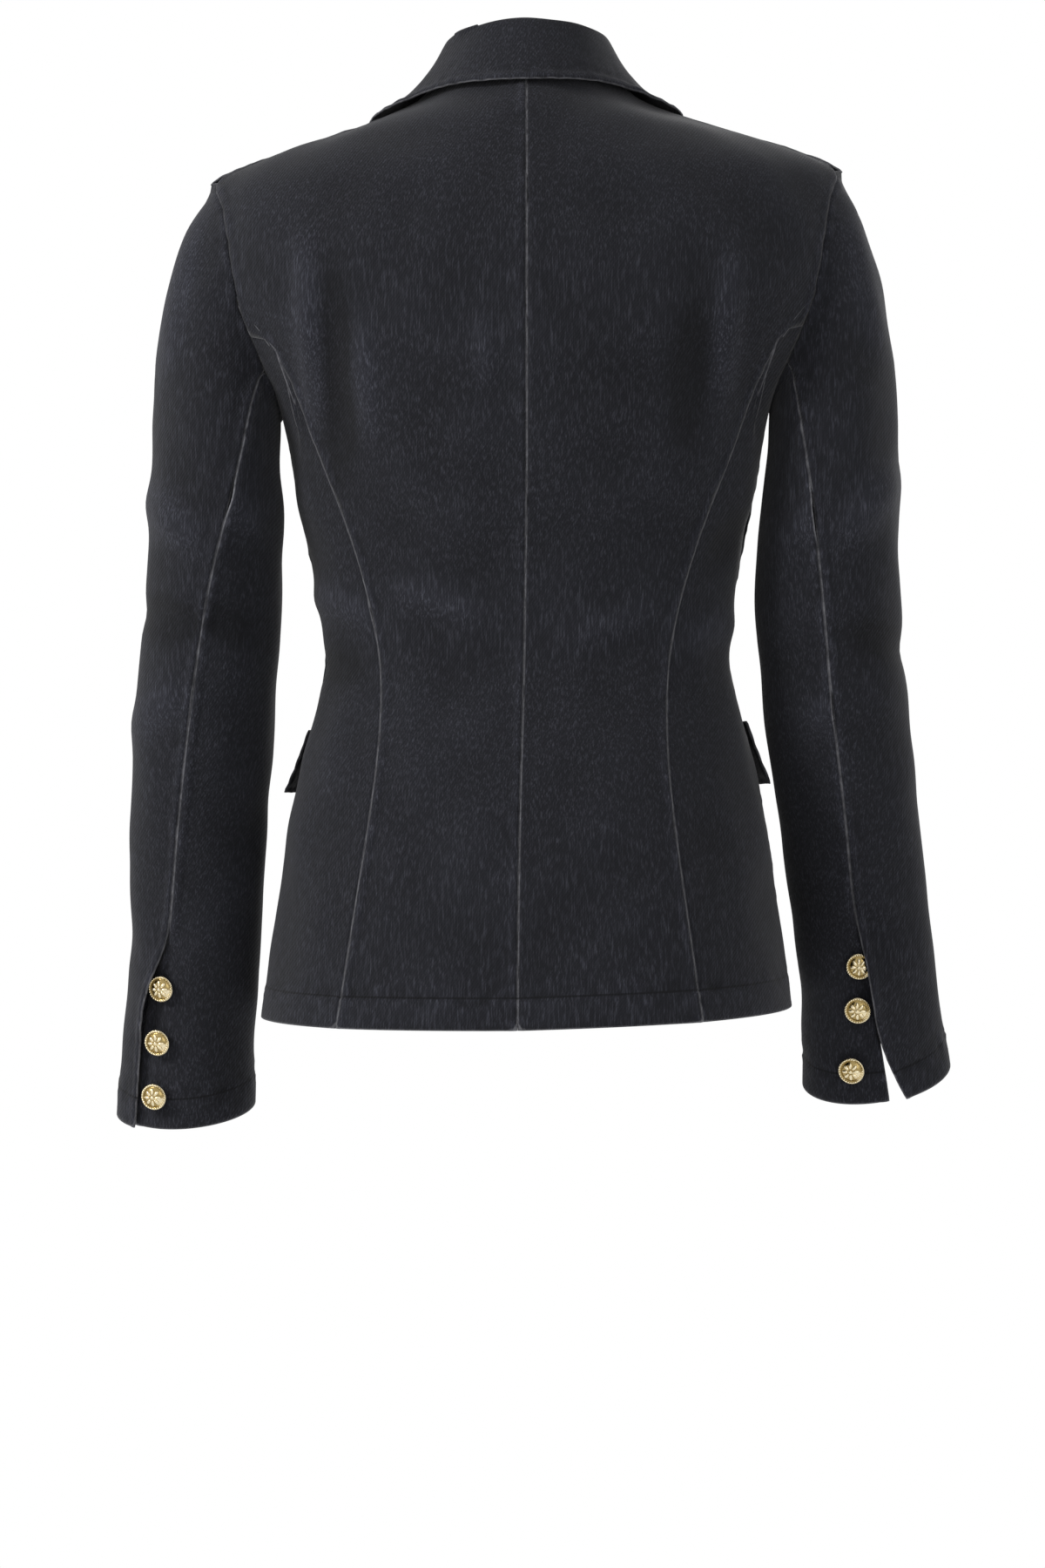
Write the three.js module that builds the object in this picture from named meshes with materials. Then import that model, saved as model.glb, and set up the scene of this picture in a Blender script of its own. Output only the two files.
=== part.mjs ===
// A women's denim blazer, worn: centre backs, side backs, fronts with notched lapels, a folded collar,
// two-piece sleeves with open button vents, hip pocket flaps and domed metal buttons.
// Millimetres. +Z is up, the front faces -Y and the wearer's left is +X.
// The origin is between the two neck points, where the shoulders carry the blazer.
import * as THREE from "three";

// Driving sizes.
const WALL = 1.3; // denim with its seam allowances turned in
const SEAM_GAP = 0.8; // between neighbouring pieces
const SHOULDER_DROP = 55; // origin to shoulder point
const NECK_DROP = 8; // origin to neck point
const NAPE_RISE = 9; // origin to the centre back neck seam
const UNDERARM_DROP = 203;
const HEM_BACK = -592;
const HEM_SIDE = -585;
const HEM_FRONT = -590;
const RIDGE_ANGLE = 1.5; // shoulder seam edges, behind and in front of the ridge
const SIDE_SEAM_ANGLE = -6; // just in front of the widest line
const CENTRE_SHIFT = -2.5; // the figure stands a little to its right
const STANCE_SLOPE = 0.02; // and its left side a little lower
const FRONT_OVERLAP = 18; // each front passes the centre line by this
const BREAK_HEIGHT = -322; // where the lapels start to roll back
const BUTTON_RADIUS = 8.6;
const FRONT_BUTTON_RADIUS = 10.5;
const BUTTON_GAP = 0.6; // under the shank
const FRONT_BUTTONS = [-343, -428]; // heights

// The worn body, one row for each level: half width, depth behind and in front of the side line,
// how flat the ring is across the centre, how round it is at the side, and its turn in degrees.
const LEVELS = [
  { z: 12, half: 64, back: 58, front: 18, flat: 1.8, round: 1.5, turn: 0 },
  { z: -8, half: 66, back: 80, front: 26, flat: 1.8, round: 1.5, turn: 0 },
  { z: -20, half: 100, back: 88, front: 40, flat: 1.8, round: 1.5, turn: 0 },
  { z: -34, half: 148, back: 94, front: 56, flat: 1.8, round: 1.55, turn: 0 },
  { z: -46, half: 186, back: 99, front: 68, flat: 1.85, round: 1.65, turn: 0 },
  { z: -56, half: 203, back: 103, front: 76, flat: 1.9, round: 1.75, turn: 0 },
  { z: -80, half: 206, back: 110, front: 90, flat: 2, round: 1.95, turn: 0 },
  { z: -105, half: 203, back: 114, front: 99, flat: 2.15, round: 2.15, turn: 0 },
  { z: -131, half: 197, back: 116, front: 107, flat: 2.3, round: 2.3, turn: 0 },
  { z: -150, half: 190, back: 117, front: 113, flat: 2.3, round: 2.3, turn: 0 },
  { z: -175, half: 176, back: 116, front: 120, flat: 2.3, round: 2.3, turn: 0 },
  { z: -203, half: 156, back: 113, front: 126, flat: 2.3, round: 2.3, turn: 0 },
  { z: -240, half: 150.5, back: 107, front: 127, flat: 2.3, round: 2.3, turn: 0 },
  { z: -270, half: 145, back: 101, front: 122, flat: 2.3, round: 2.3, turn: 0 },
  { z: -300, half: 138, back: 95, front: 116, flat: 2.3, round: 2.3, turn: 0.3 },
  { z: -330, half: 132, back: 91, front: 111, flat: 2.3, round: 2.3, turn: 0.6 },
  { z: -361, half: 129, back: 89, front: 109, flat: 2.3, round: 2.3, turn: 0.9 },
  { z: -382, half: 131, back: 93, front: 110, flat: 2.3, round: 2.3, turn: 1.1 },
  { z: -400, half: 137.5, back: 99, front: 112, flat: 2.3, round: 2.3, turn: 1.3 },
  { z: -430, half: 146, back: 109, front: 116, flat: 2.3, round: 2.3, turn: 1.7 },
  { z: -475, half: 154.5, back: 118, front: 119, flat: 2.3, round: 2.3, turn: 2.1 },
  { z: -540, half: 163, back: 124, front: 121, flat: 2.3, round: 2.3, turn: 2.4 },
  { z: -596, half: 171, back: 127, front: 122, flat: 2.3, round: 2.3, turn: 2.5 },
];

// Seams on the half body: distance from the centre line at each height.
const BACK_ARMHOLE = [
  { z: -63, x: 195 },
  { z: -77, x: 191 },
  { z: -94, x: 188 },
  { z: -115, x: 185 },
  { z: -138, x: 181 },
];
const UNDER_BACK_ARMHOLE = [
  { z: -138, x: 181 },
  { z: -153, x: 175.5 },
  { z: -170, x: 168.5 },
  { z: -184, x: 162 },
  { z: -196, x: 155.5 },
];
const FRONT_ARMHOLE = [
  { z: -63, x: 193 },
  { z: -77, x: 187 },
  { z: -98, x: 179 },
  { z: -125, x: 171 },
  { z: -150, x: 166 },
  { z: -172, x: 162 },
  { z: -188, x: 157.5 },
  { z: -198, x: 153 },
];
const PRINCESS_SEAM = [
  { z: -138, x: 181 },
  { z: -154, x: 163 },
  { z: -182, x: 151 },
  { z: -210, x: 138.5 },
  { z: -257, x: 120 },
  { z: -303, x: 103.5 },
  { z: -354, x: 91 },
  { z: -395, x: 88.4 },
  { z: -433, x: 90.2 },
  { z: -480, x: 96.5 },
  { z: -537, x: 105 },
  { z: -590, x: 113 },
];
const FRONT_NECK = [
  { z: -8.5, x: 65.5 },
  { z: -22, x: 60 },
  { z: -44, x: 52 },
];

// Rings of each worn sleeve from the upper arm to the hem: centre, half width and half depth, turn
// about the arm in degrees, fall of the ring towards the back and towards the outside, and the angles
// of the back seam on the upper and the under sleeve. Angle 0 is outside and 90 behind. Below the vent
// top the two edges part, the upper one stands off by lift and the under one lies in by sink.
const SLEEVE_RINGS = {
  left: [
    { z: -235, x: 195.5, y: 4, across: 41.5, deep: 59, turn: 12, behind: 0, outside: 0, upper: 101, under: 101, lift: 0, sink: 0 },
    { z: -266, x: 194.5, y: 4, across: 42.5, deep: 57, turn: 8, behind: 0, outside: 0, upper: 95, under: 95, lift: 0, sink: 0 },
    { z: -300, x: 195.6, y: 2, across: 44, deep: 54, turn: 4, behind: 0, outside: 0, upper: 89, under: 89, lift: 0, sink: 0 },
    { z: -340, x: 198, y: -1, across: 45, deep: 51, turn: 0, behind: 0.02, outside: 0, upper: 86, under: 86, lift: 0, sink: 0 },
    { z: -385, x: 202, y: -7, across: 45.5, deep: 48.5, turn: 0, behind: 0.06, outside: 0, upper: 82.5, under: 82.5, lift: 0, sink: 0 },
    { z: -430, x: 205.8, y: -16, across: 45.3, deep: 45.5, turn: 0, behind: 0.1, outside: 0, upper: 79, under: 79, lift: 0, sink: 0 },
    { z: -473, x: 208.2, y: -25, across: 44.8, deep: 42.5, turn: 0, behind: 0.14, outside: 0, upper: 75, under: 75, lift: 0, sink: 0 },
    { z: -510, x: 209.4, y: -33, across: 43.8, deep: 40, turn: 0, behind: 0.18, outside: 0, upper: 71.5, under: 71.5, lift: 0, sink: 0 },
    { z: -537, x: 210.3, y: -39, across: 43.4, deep: 38.5, turn: 0, behind: 0.21, outside: 0.01, upper: 68, under: 68, lift: 0, sink: 0 },
    { z: -558, x: 211.8, y: -43, across: 43.2, deep: 37.5, turn: 0, behind: 0.24, outside: 0.02, upper: 57.5, under: 50, lift: 8, sink: 4 },
    { z: -580, x: 213.6, y: -47, across: 43.2, deep: 36.8, turn: 0, behind: 0.27, outside: 0.03, upper: 51, under: 44, lift: 6.5, sink: 3.5 },
    { z: -604, x: 215.6, y: -52, across: 43.4, deep: 36.2, turn: 0, behind: 0.3, outside: 0.05, upper: 48, under: 42, lift: 2.5, sink: 3 },
    { z: -628, x: 217.4, y: -57, across: 44.4, deep: 36, turn: 0, behind: 0.32, outside: 0.06, upper: 48, under: 42, lift: 1.5, sink: 3 },
    { z: -652, x: 218.8, y: -62, across: 45.8, deep: 36, turn: 0, behind: 0.34, outside: 0.07, upper: 48, under: 42, lift: 1, sink: 3 },
  ],
  right: [
    { z: -229, x: 198, y: 4, across: 42, deep: 59, turn: 12, behind: 0, outside: 0, upper: 104, under: 104, lift: 0, sink: 0 },
    { z: -260, x: 196, y: 4, across: 44.5, deep: 57, turn: 8, behind: 0, outside: 0, upper: 99, under: 99, lift: 0, sink: 0 },
    { z: -297, x: 193.5, y: 2, across: 47, deep: 54, turn: 4, behind: 0, outside: 0, upper: 96, under: 96, lift: 0, sink: 0 },
    { z: -335, x: 194.8, y: -1, across: 47.4, deep: 51, turn: 0, behind: 0.02, outside: 0, upper: 96.5, under: 96.5, lift: 0, sink: 0 },
    { z: -378, x: 199, y: -7, across: 47.2, deep: 48.5, turn: 0, behind: 0.06, outside: 0, upper: 97, under: 97, lift: 0, sink: 0 },
    { z: -422, x: 204, y: -16, across: 47, deep: 45.5, turn: 0, behind: 0.1, outside: 0, upper: 95.5, under: 95.5, lift: 0, sink: 0 },
    { z: -464, x: 210, y: -25, across: 46, deep: 42.5, turn: 0, behind: 0.14, outside: 0, upper: 95.5, under: 95.5, lift: 0, sink: 0 },
    { z: -502, x: 215, y: -33, across: 45, deep: 40, turn: 0, behind: 0.18, outside: 0, upper: 97, under: 97, lift: 0, sink: 0 },
    { z: -530, x: 219.2, y: -38, across: 44.9, deep: 38.5, turn: 0, behind: 0.22, outside: -0.02, upper: 96, under: 96, lift: 0, sink: 0 },
    { z: -549, x: 221.6, y: -42, across: 44.8, deep: 37.5, turn: 0, behind: 0.27, outside: -0.05, upper: 91, under: 87, lift: 8, sink: 4 },
    { z: -570, x: 223.8, y: -46, across: 44.8, deep: 37, turn: 0, behind: 0.32, outside: -0.07, upper: 90, under: 86, lift: 6, sink: 3.5 },
    { z: -592, x: 226, y: -50, across: 45.8, deep: 36.5, turn: 0, behind: 0.38, outside: -0.1, upper: 87, under: 86, lift: 2.5, sink: 3 },
    { z: -611, x: 228.2, y: -54, across: 47.2, deep: 36.2, turn: 0, behind: 0.43, outside: -0.12, upper: 80, under: 84, lift: 1.5, sink: 2 },
    { z: -630, x: 230.3, y: -58, across: 48.6, deep: 36, turn: 0, behind: 0.47, outside: -0.14, upper: 71, under: 83, lift: 1, sink: 1 },
  ],
};
const SLEEVE_SEAM_ARMHOLE = 124; // angle of the back seam where it leaves the armhole
const SLEEVE_FRONT_SEAM = -140; // angle of the front seam, under the forearm
const FRONT_SEAM_EASE = 1.5; // degrees between the halves at that seam
const CAP_ROWS = 5;
const CAP_FULLNESS = 0.62; // how far up the cap bends over
const SLEEVE_OFFSET = 1.5; // the sleeve beside the armhole edge
const VENT_FADE = 55; // degrees over which the vent's edges rise or sink
const UPPER_COLUMNS = 12;
const UNDER_COLUMNS = 7;

// Buttons of each sleeve: height of the ring they sit at and their angle on it.
const SLEEVE_BUTTONS = {
  left: [
    { name: 1, z: -564, angle: 64 },
    { name: 2, z: -597, angle: 64.5 },
    { name: 3, z: -631, angle: 65 },
  ],
  right: [
    { name: 1, z: -548, angle: 98 },
    { name: 2, z: -574, angle: 102 },
    { name: 3, z: -609, angle: 110 },
  ],
};

// Collar sections from the centre back to its front end: the place of the fold and of the fall's free
// edge, and how far the middle of the fall hangs below the straight line between them.
const COLLAR = [
  { foldX: 0, foldY: 66, foldZ: 36.5, edgeX: 0, edgeY: 83, edgeZ: -5, sag: 0 },
  { foldX: 24, foldY: 60, foldZ: 35.2, edgeX: 24, edgeY: 77, edgeZ: -4.6, sag: 0 },
  { foldX: 39, foldY: 46, foldZ: 33, edgeX: 43, edgeY: 63, edgeZ: -4, sag: 1 },
  { foldX: 48, foldY: 27, foldZ: 31, edgeX: 66, edgeY: 37, edgeZ: -5.5, sag: 4 },
  { foldX: 52, foldY: 5, foldZ: 28, edgeX: 92, edgeY: 20, edgeZ: -13.5, sag: 7 },
  { foldX: 52.5, foldY: -20, foldZ: 17, edgeX: 102, edgeY: -15, edgeZ: -18, sag: 6 },
  { foldX: 52, foldY: -42, foldZ: -4, edgeX: 107, edgeY: -51, edgeZ: -38, sag: 4 },
  { foldX: 51.5, foldY: -66, foldZ: -36, edgeX: 106, edgeY: -77, edgeZ: -57, sag: 5 },
];
const COLLAR_STEPS = 28;
const COLLAR_SEAM_RISE = 0.9; // the stand above the neck seam
const FOLD_HALF_WIDTH = 2.3;
const FOLD_ROUND = 1.2;

// Lapel sections from the break up to the gorge: height on the roll line, and the place of the edge.
const LAPEL = [
  { roll: -314, edgeX: -11, edgeZ: -309 },
  { roll: -280, edgeX: 20, edgeZ: -262 },
  { roll: -237, edgeX: 56, edgeZ: -212 },
  { roll: -190, edgeX: 86, edgeZ: -166 },
  { roll: -143, edgeX: 108, edgeZ: -125 },
  { roll: -96, edgeX: 122, edgeZ: -91 },
  { roll: -50, edgeX: 119, edgeZ: -82 },
];
const LAPEL_ROWS = 12;
const LAPEL_STAND = 2.2; // outer face of the lapel above the front under it
const LAPEL_ROLL = 1.6; // further out beside the roll line
const OVERLAP_LIFT = 6; // the right front over the left front and its lapel
const OVERLAP_RAMP = 45;

// The flap on each hip pocket: its ends by angle, and its sewn and free edge by height.
const FLAP = { backAngle: -7, frontAngle: -56, top: -405, bottom: -446, stand: 1.6, flare: 5.5 };

const DENIM = { color: 0x25252a, roughness: 0.92, metalness: 0 };
const GILT = { color: 0xd8c48c, roughness: 0.28, metalness: 1 };

const radians = THREE.MathUtils.degToRad;
const lerp = THREE.MathUtils.lerp;
const group = new THREE.Group();

// Reads one column of a table at a height, on a smooth curve that never overshoots its rows.
function read(table, column, z) {
  const last = table.length - 1;
  let i = 0;
  while (i < last - 1 && z < table[i + 1].z) i += 1;
  const secant = (k) => (table[k + 1][column] - table[k][column]) / (table[k + 1].z - table[k].z);
  const slope = (k) => {
    if (k === 0) return secant(0);
    if (k === last) return secant(last - 1);
    const above = secant(k - 1);
    const below = secant(k);
    return above * below <= 0 ? 0 : (2 * above * below) / (above + below);
  };
  const step = table[i + 1].z - table[i].z;
  const t = THREE.MathUtils.clamp((z - table[i].z) / step, 0, 1);
  const start = table[i][column];
  const rise = table[i + 1][column] - start;
  const ease = t * t * (3 - 2 * t);
  const lead = t * (1 - t) * (1 - t) * step * slope(i);
  const follow = t * t * (t - 1) * step * slope(i + 1);
  return start + rise * ease + lead + follow;
}

// A point of the worn body. Angle 90 is the centre back, 0 the side and -90 the centre front.
function body(angle, z) {
  const depth = angle > 0 ? read(LEVELS, "back", z) : -read(LEVELS, "front", z);
  const across = Math.cos(radians(angle));
  const along = Math.abs(Math.sin(radians(angle)));
  const x = read(LEVELS, "half", z) * Math.sign(across) * Math.abs(across) ** (2 / read(LEVELS, "flat", z));
  return new THREE.Vector3(x, depth * along ** (2 / read(LEVELS, "round", z)), z);
}

// The angle of a place on the body, by its distance from the centre line; face is 1 behind, -1 in front.
function angleAt(x, z, face) {
  const share = Math.min(Math.abs(x) / read(LEVELS, "half", z), 1) ** (read(LEVELS, "flat", z) / 2);
  return face * THREE.MathUtils.radToDeg(Math.acos(Math.sign(x) * share));
}

// Puts a point of the half body on its side of the figure, turned, shifted and sloped as it stands.
function stand(point, side) {
  const turn = radians(read(LEVELS, "turn", point.z));
  const x = point.x * side;
  const turned = x * Math.cos(turn) + point.y * Math.sin(turn);
  const y = point.y * Math.cos(turn) - x * Math.sin(turn);
  const shifted = turned + CENTRE_SHIFT;
  return new THREE.Vector3(shifted, y, point.z - STANCE_SLOPE * shifted);
}

// A seam is a smooth line of places, each an angle and a height.
function place(angle, z) {
  return new THREE.Vector3(angle, z, 0);
}

function seam(places, steps) {
  return new THREE.CatmullRomCurve3(places, false, "centripetal").getSpacedPoints(steps);
}

function places(rows, face) {
  return rows.map((row) => place(angleAt(row.x, row.z, face), row.z));
}

function join(...lines) {
  return lines.flatMap((line, k) => (k ? line.slice(1) : line));
}

// A grid of places between four seams that meet at their ends.
function fill(top, bottom, first, last) {
  return first.map((from, i) =>
    top.map((_, j) => {
      const v = i / (first.length - 1);
      const u = j / (top.length - 1);
      const blend = (k) =>
        lerp(from[k], last[i][k], u) +
        lerp(top[j][k], bottom[j][k], v) -
        lerp(lerp(top[0][k], top.at(-1)[k], u), lerp(bottom[0][k], bottom.at(-1)[k], u), v);
      return place(blend("x"), blend("y"));
    }),
  );
}

// Outward directions of a grid of points; inside is any point behind the middle of the cloth.
function outward(grid, inside) {
  const rows = grid.length - 1;
  const columns = grid[0].length - 1;
  const normalAt = (i, j) => {
    const across = grid[i][Math.min(j + 1, columns)].clone().sub(grid[i][Math.max(j - 1, 0)]);
    const along = grid[Math.min(i + 1, rows)][j].clone().sub(grid[Math.max(i - 1, 0)][j]);
    return across.cross(along).normalize();
  };
  const i = Math.floor(rows / 2);
  const j = Math.floor(columns / 2);
  const face = Math.sign(normalAt(i, j).dot(grid[i][j].clone().sub(inside)));
  return grid.map((row, r) => row.map((_, c) => normalAt(r, c).multiplyScalar(face)));
}

// A grid moved out along its normals, by a distance that may differ from point to point.
function moved(grid, inside, distance) {
  const normals = outward(grid, inside);
  return grid.map((row, i) =>
    row.map((point, j) => point.clone().addScaledVector(normals[i][j], distance(i, j))),
  );
}

// A grid drawn in from its edges by half the seam gap.
function trimmed(grid) {
  const rows = grid.length - 1;
  const columns = grid[0].length - 1;
  const pulled = (point, neighbour) =>
    point.clone().add(neighbour.clone().sub(point).setLength(SEAM_GAP / 2));
  const sides = grid.map((row) =>
    row.map((point, j) => {
      if (j === 0) return pulled(point, row[1]);
      return j === columns ? pulled(point, row[columns - 1]) : point;
    }),
  );
  return sides.map((row, i) =>
    row.map((point, j) => {
      if (i === 0) return pulled(point, sides[1][j]);
      return i === rows ? pulled(point, sides[rows - 1][j]) : point;
    }),
  );
}

// A closed wall of cloth: the grid is its outer face, and its inner face lies one thickness behind.
function wall(name, grid, inside, thickness = WALL) {
  const outer = trimmed(grid);
  const inner = moved(outer, inside, () => -thickness);
  const rows = outer.length;
  const columns = outer[0].length;
  const corners = [...outer.flat(), ...inner.flat()];
  const at = (layer, i, j) => layer * rows * columns + i * columns + j;
  const faces = [];
  const quad = (a, b, c, d) => faces.push(a, b, c, a, c, d);
  for (let i = 0; i < rows - 1; i += 1) {
    for (let j = 0; j < columns - 1; j += 1) {
      quad(at(0, i, j), at(0, i, j + 1), at(0, i + 1, j + 1), at(0, i + 1, j));
      quad(at(1, i, j), at(1, i + 1, j), at(1, i + 1, j + 1), at(1, i, j + 1));
    }
    const right = columns - 1;
    quad(at(0, i, 0), at(0, i + 1, 0), at(1, i + 1, 0), at(1, i, 0));
    quad(at(0, i, right), at(1, i, right), at(1, i + 1, right), at(0, i + 1, right));
  }
  for (let j = 0; j < columns - 1; j += 1) {
    const foot = rows - 1;
    quad(at(0, 0, j), at(1, 0, j), at(1, 0, j + 1), at(0, 0, j + 1));
    quad(at(0, foot, j), at(0, foot, j + 1), at(1, foot, j + 1), at(1, foot, j));
  }
  const geometry = new THREE.BufferGeometry().setFromPoints(corners);
  geometry.setIndex(faces);
  if (volume(corners, faces) < 0) geometry.setIndex(faces.toReversed());
  geometry.computeVertexNormals();
  addMesh(name, geometry, DENIM);
}

// Signed volume of a closed set of faces.
function volume(corners, faces) {
  let sum = 0;
  for (let k = 0; k < faces.length; k += 3) {
    const [a, b, c] = [corners[faces[k]], corners[faces[k + 1]], corners[faces[k + 2]]];
    sum += a.dot(b.clone().cross(c));
  }
  return sum / 6;
}

function addMesh(name, geometry, finish) {
  const mesh = new THREE.Mesh(geometry, new THREE.MeshStandardMaterial({ ...finish, side: THREE.DoubleSide }));
  mesh.name = name;
  group.add(mesh);
}

// Seams of the half body.
const underarm = place(SIDE_SEAM_ANGLE, -UNDERARM_DROP);
const shoulderSeam = (face, steps) =>
  seam([-NECK_DROP, (-NECK_DROP - SHOULDER_DROP) / 2, -SHOULDER_DROP].map((z) => place(face * RIDGE_ANGLE, z)), steps);
const ridge = shoulderSeam(1, 3);
const frontRidge = shoulderSeam(-1, 9);
const backArmhole = seam([ridge.at(-1), ...places(BACK_ARMHOLE, 1)], 4);
const underBackArmhole = seam([...places(UNDER_BACK_ARMHOLE, 1), underarm], 5);
const frontArmhole = seam([frontRidge.at(-1), ...places(FRONT_ARMHOLE, -1), underarm], 8);
const princess = seam(places(PRINCESS_SEAM, 1), 14);
const sideSeam = seam([underarm, place(SIDE_SEAM_ANGLE, HEM_SIDE)], 14);
const frontNeck = seam([frontRidge[0], ...places(FRONT_NECK, -1)], 2);

const sides = { left: 1, right: -1 };
const torsoAxis = new THREE.Vector3(0, 0, -300);
const onBody = (grid, side) => grid.map((row) => row.map((p) => stand(body(p.x, p.y), side)));

// The neck seam of the back, as a share from the nape to the neck point.
function backNeck(t) {
  return place(lerp(90, RIDGE_ANGLE, t), lerp(NAPE_RISE, -NECK_DROP, t * t));
}

// The roll line runs straight from the front neck to the break.
function rollX(z) {
  const top = FRONT_NECK.at(-1);
  return lerp(top.x, -FRONT_OVERLAP, (z - top.z) / (BREAK_HEIGHT - top.z));
}

// The right front laps over the left one near the centre line.
function overlapLift(x, side) {
  if (side > 0) return 0;
  return OVERLAP_LIFT * (1 - THREE.MathUtils.smoothstep(x, FRONT_OVERLAP, FRONT_OVERLAP + OVERLAP_RAMP));
}

// Centre backs: nape to hem, out to the shoulder, the armhole and the princess seam.
for (const [name, side] of Object.entries(sides)) {
  const outerEdge = join(ridge, backArmhole, princess);
  const centre = join(
    seam([place(90, NAPE_RISE), place(90, -28)], 3),
    seam([place(90, -28), place(90, -124)], 4),
    seam([place(90, -124), place(90, HEM_BACK)], 14),
  );
  const columns = 8;
  const neckline = Array.from({ length: columns + 1 }, (_, j) => backNeck(j / columns));
  const hem = seam([centre.at(-1), outerEdge.at(-1)], columns);
  wall(`back_${name}`, onBody(fill(neckline, hem, centre, outerEdge), side), torsoAxis);
}

// Side backs: between the princess seam and the side seam, from the underarm curve to the hem.
for (const [name, side] of Object.entries(sides)) {
  const hem = seam([princess.at(-1), sideSeam.at(-1)], 5);
  wall(`side_back_${name}`, onBody(fill(underBackArmhole, hem, princess, sideSeam), side), torsoAxis);
}

// Fronts: from the neck, roll line and front edge out to the armhole and the side seam.
for (const [name, side] of Object.entries(sides)) {
  const outerEdge = join(frontArmhole, sideSeam);
  const edgeRow = (z) => ({ z, x: Math.max(rollX(z), -FRONT_OVERLAP) });
  const rollTop = FRONT_NECK.at(-1).z;
  const innerEdge = join(
    frontNeck,
    seam(places([rollTop, -140, -230, BREAK_HEIGHT].map(edgeRow), -1), 10),
    seam(places([BREAK_HEIGHT, -410, -500, HEM_FRONT].map(edgeRow), -1), 10),
  );
  const hem = seam([innerEdge.at(-1), outerEdge.at(-1)], 9);
  const panel = fill(frontRidge, hem, innerEdge, outerEdge);
  const lift = (i, j) => overlapLift(body(panel[i][j].x, panel[i][j].y).x, side);
  wall(`front_${name}`, moved(onBody(panel, side), torsoAxis, lift), torsoAxis);
}

// Lapels: folded back along the roll line, lying on the fronts.
for (const [name, side] of Object.entries(sides)) {
  const columns = 5;
  const line = (x, z) => new THREE.CatmullRomCurve3(LAPEL.map((row) => new THREE.Vector3(x(row), z(row), 0)));
  const rolls = line((row) => rollX(row.roll), (row) => row.roll).getPoints(LAPEL_ROWS);
  const edges = line((row) => row.edgeX, (row) => row.edgeZ).getPoints(LAPEL_ROWS);
  const flat = rolls.map((roll, i) =>
    Array.from({ length: columns + 1 }, (_, j) => roll.clone().lerp(edges[i], j / columns)),
  );
  const onFront = flat.map((row) => row.map((p) => stand(body(angleAt(p.x, p.y, -1), p.y), side)));
  const lift = (i, j) =>
    LAPEL_STAND + LAPEL_ROLL * (1 - j / columns) ** 2 + overlapLift(flat[i][j].x, side);
  wall(`lapel_${name}`, moved(onFront, torsoAxis, lift), torsoAxis);
}

// Collar: the stand rises from the neck seam, turns over the fold and falls outside it.
{
  const half = (x, y, z) => COLLAR.map((row) => new THREE.Vector3(row[x], row[y], row[z]));
  const last = COLLAR.length - 1;
  const neck = COLLAR.map((_, k) => {
    const backRows = 4;
    const share = (k - backRows) / (last - backRows);
    const p = k <= backRows ? backNeck(k / backRows) : curveOf(frontNeck).getPoint(share);
    return body(p.x, p.y).setZ(p.y + COLLAR_SEAM_RISE);
  });
  const sags = COLLAR.map((row) => new THREE.Vector3(row.sag, 0, 0));
  const round = (line) => {
    const other = line.slice(1).map((p) => p.clone());
    return curveOf([...line.toReversed().map((p) => stand(p, 1)), ...other.map((p) => stand(p, -1))]);
  };
  const [seams, folds, edges] = [neck, half("foldX", "foldY", "foldZ"), half("edgeX", "edgeY", "edgeZ")].map(round);
  const sagging = curveOf([...sags.toReversed(), ...sags.slice(1)]);
  const grid = Array.from({ length: COLLAR_STEPS + 1 }, (_, i) => {
    const t = i / COLLAR_STEPS;
    const [foot, fold, edge, sag] = [seams, folds, edges, sagging].map((curve) => curve.getPoint(t));
    const out = edge.clone().sub(foot).setZ(0).normalize();
    const beside = (point, across, up) => point.clone().addScaledVector(out, across).setZ(point.z + up);
    const fall = (share) => fold.clone().lerp(edge, share).add(new THREE.Vector3(0, 0, -4 * sag.x * share * (1 - share)));
    return [
      foot,
      foot.clone().lerp(beside(fold, -FOLD_HALF_WIDTH, -FOLD_ROUND), 0.5),
      beside(fold, -FOLD_HALF_WIDTH, -FOLD_ROUND),
      fold,
      beside(fold, FOLD_HALF_WIDTH, -FOLD_ROUND),
      fall(0.38),
      fall(0.7),
      edge,
    ];
  });
  const underFold = folds.getPoint(0.5).add(new THREE.Vector3(0, 0, -8));
  wall("collar", grid, underFold);
}

function curveOf(points) {
  return new THREE.CatmullRomCurve3(points);
}

// The armhole of one side as two lines from the shoulder point to the underarm.
function armhole(side) {
  const behind = join(backArmhole, underBackArmhole);
  const line = (path) => curveOf(path.map((p) => stand(body(p.x, p.y), side)));
  return { behind: line(behind), front: line(frontArmhole) };
}

// A point of a sleeve ring; the angle is 0 outside and 90 behind, and raise stands it off the ring.
function ringPoint(rings, z, angle, side, raise = 0) {
  const at = (column) => read(rings, column, z);
  const turn = radians(at("turn"));
  const across = (at("across") + raise) * Math.cos(radians(angle));
  const deep = (at("deep") + raise) * Math.sin(radians(angle));
  const x = across * Math.cos(turn) - deep * Math.sin(turn);
  const y = across * Math.sin(turn) + deep * Math.cos(turn);
  const height = z - at("behind") * y - at("outside") * x;
  return new THREE.Vector3(side * (at("x") + x), at("y") + y, height);
}

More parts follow.
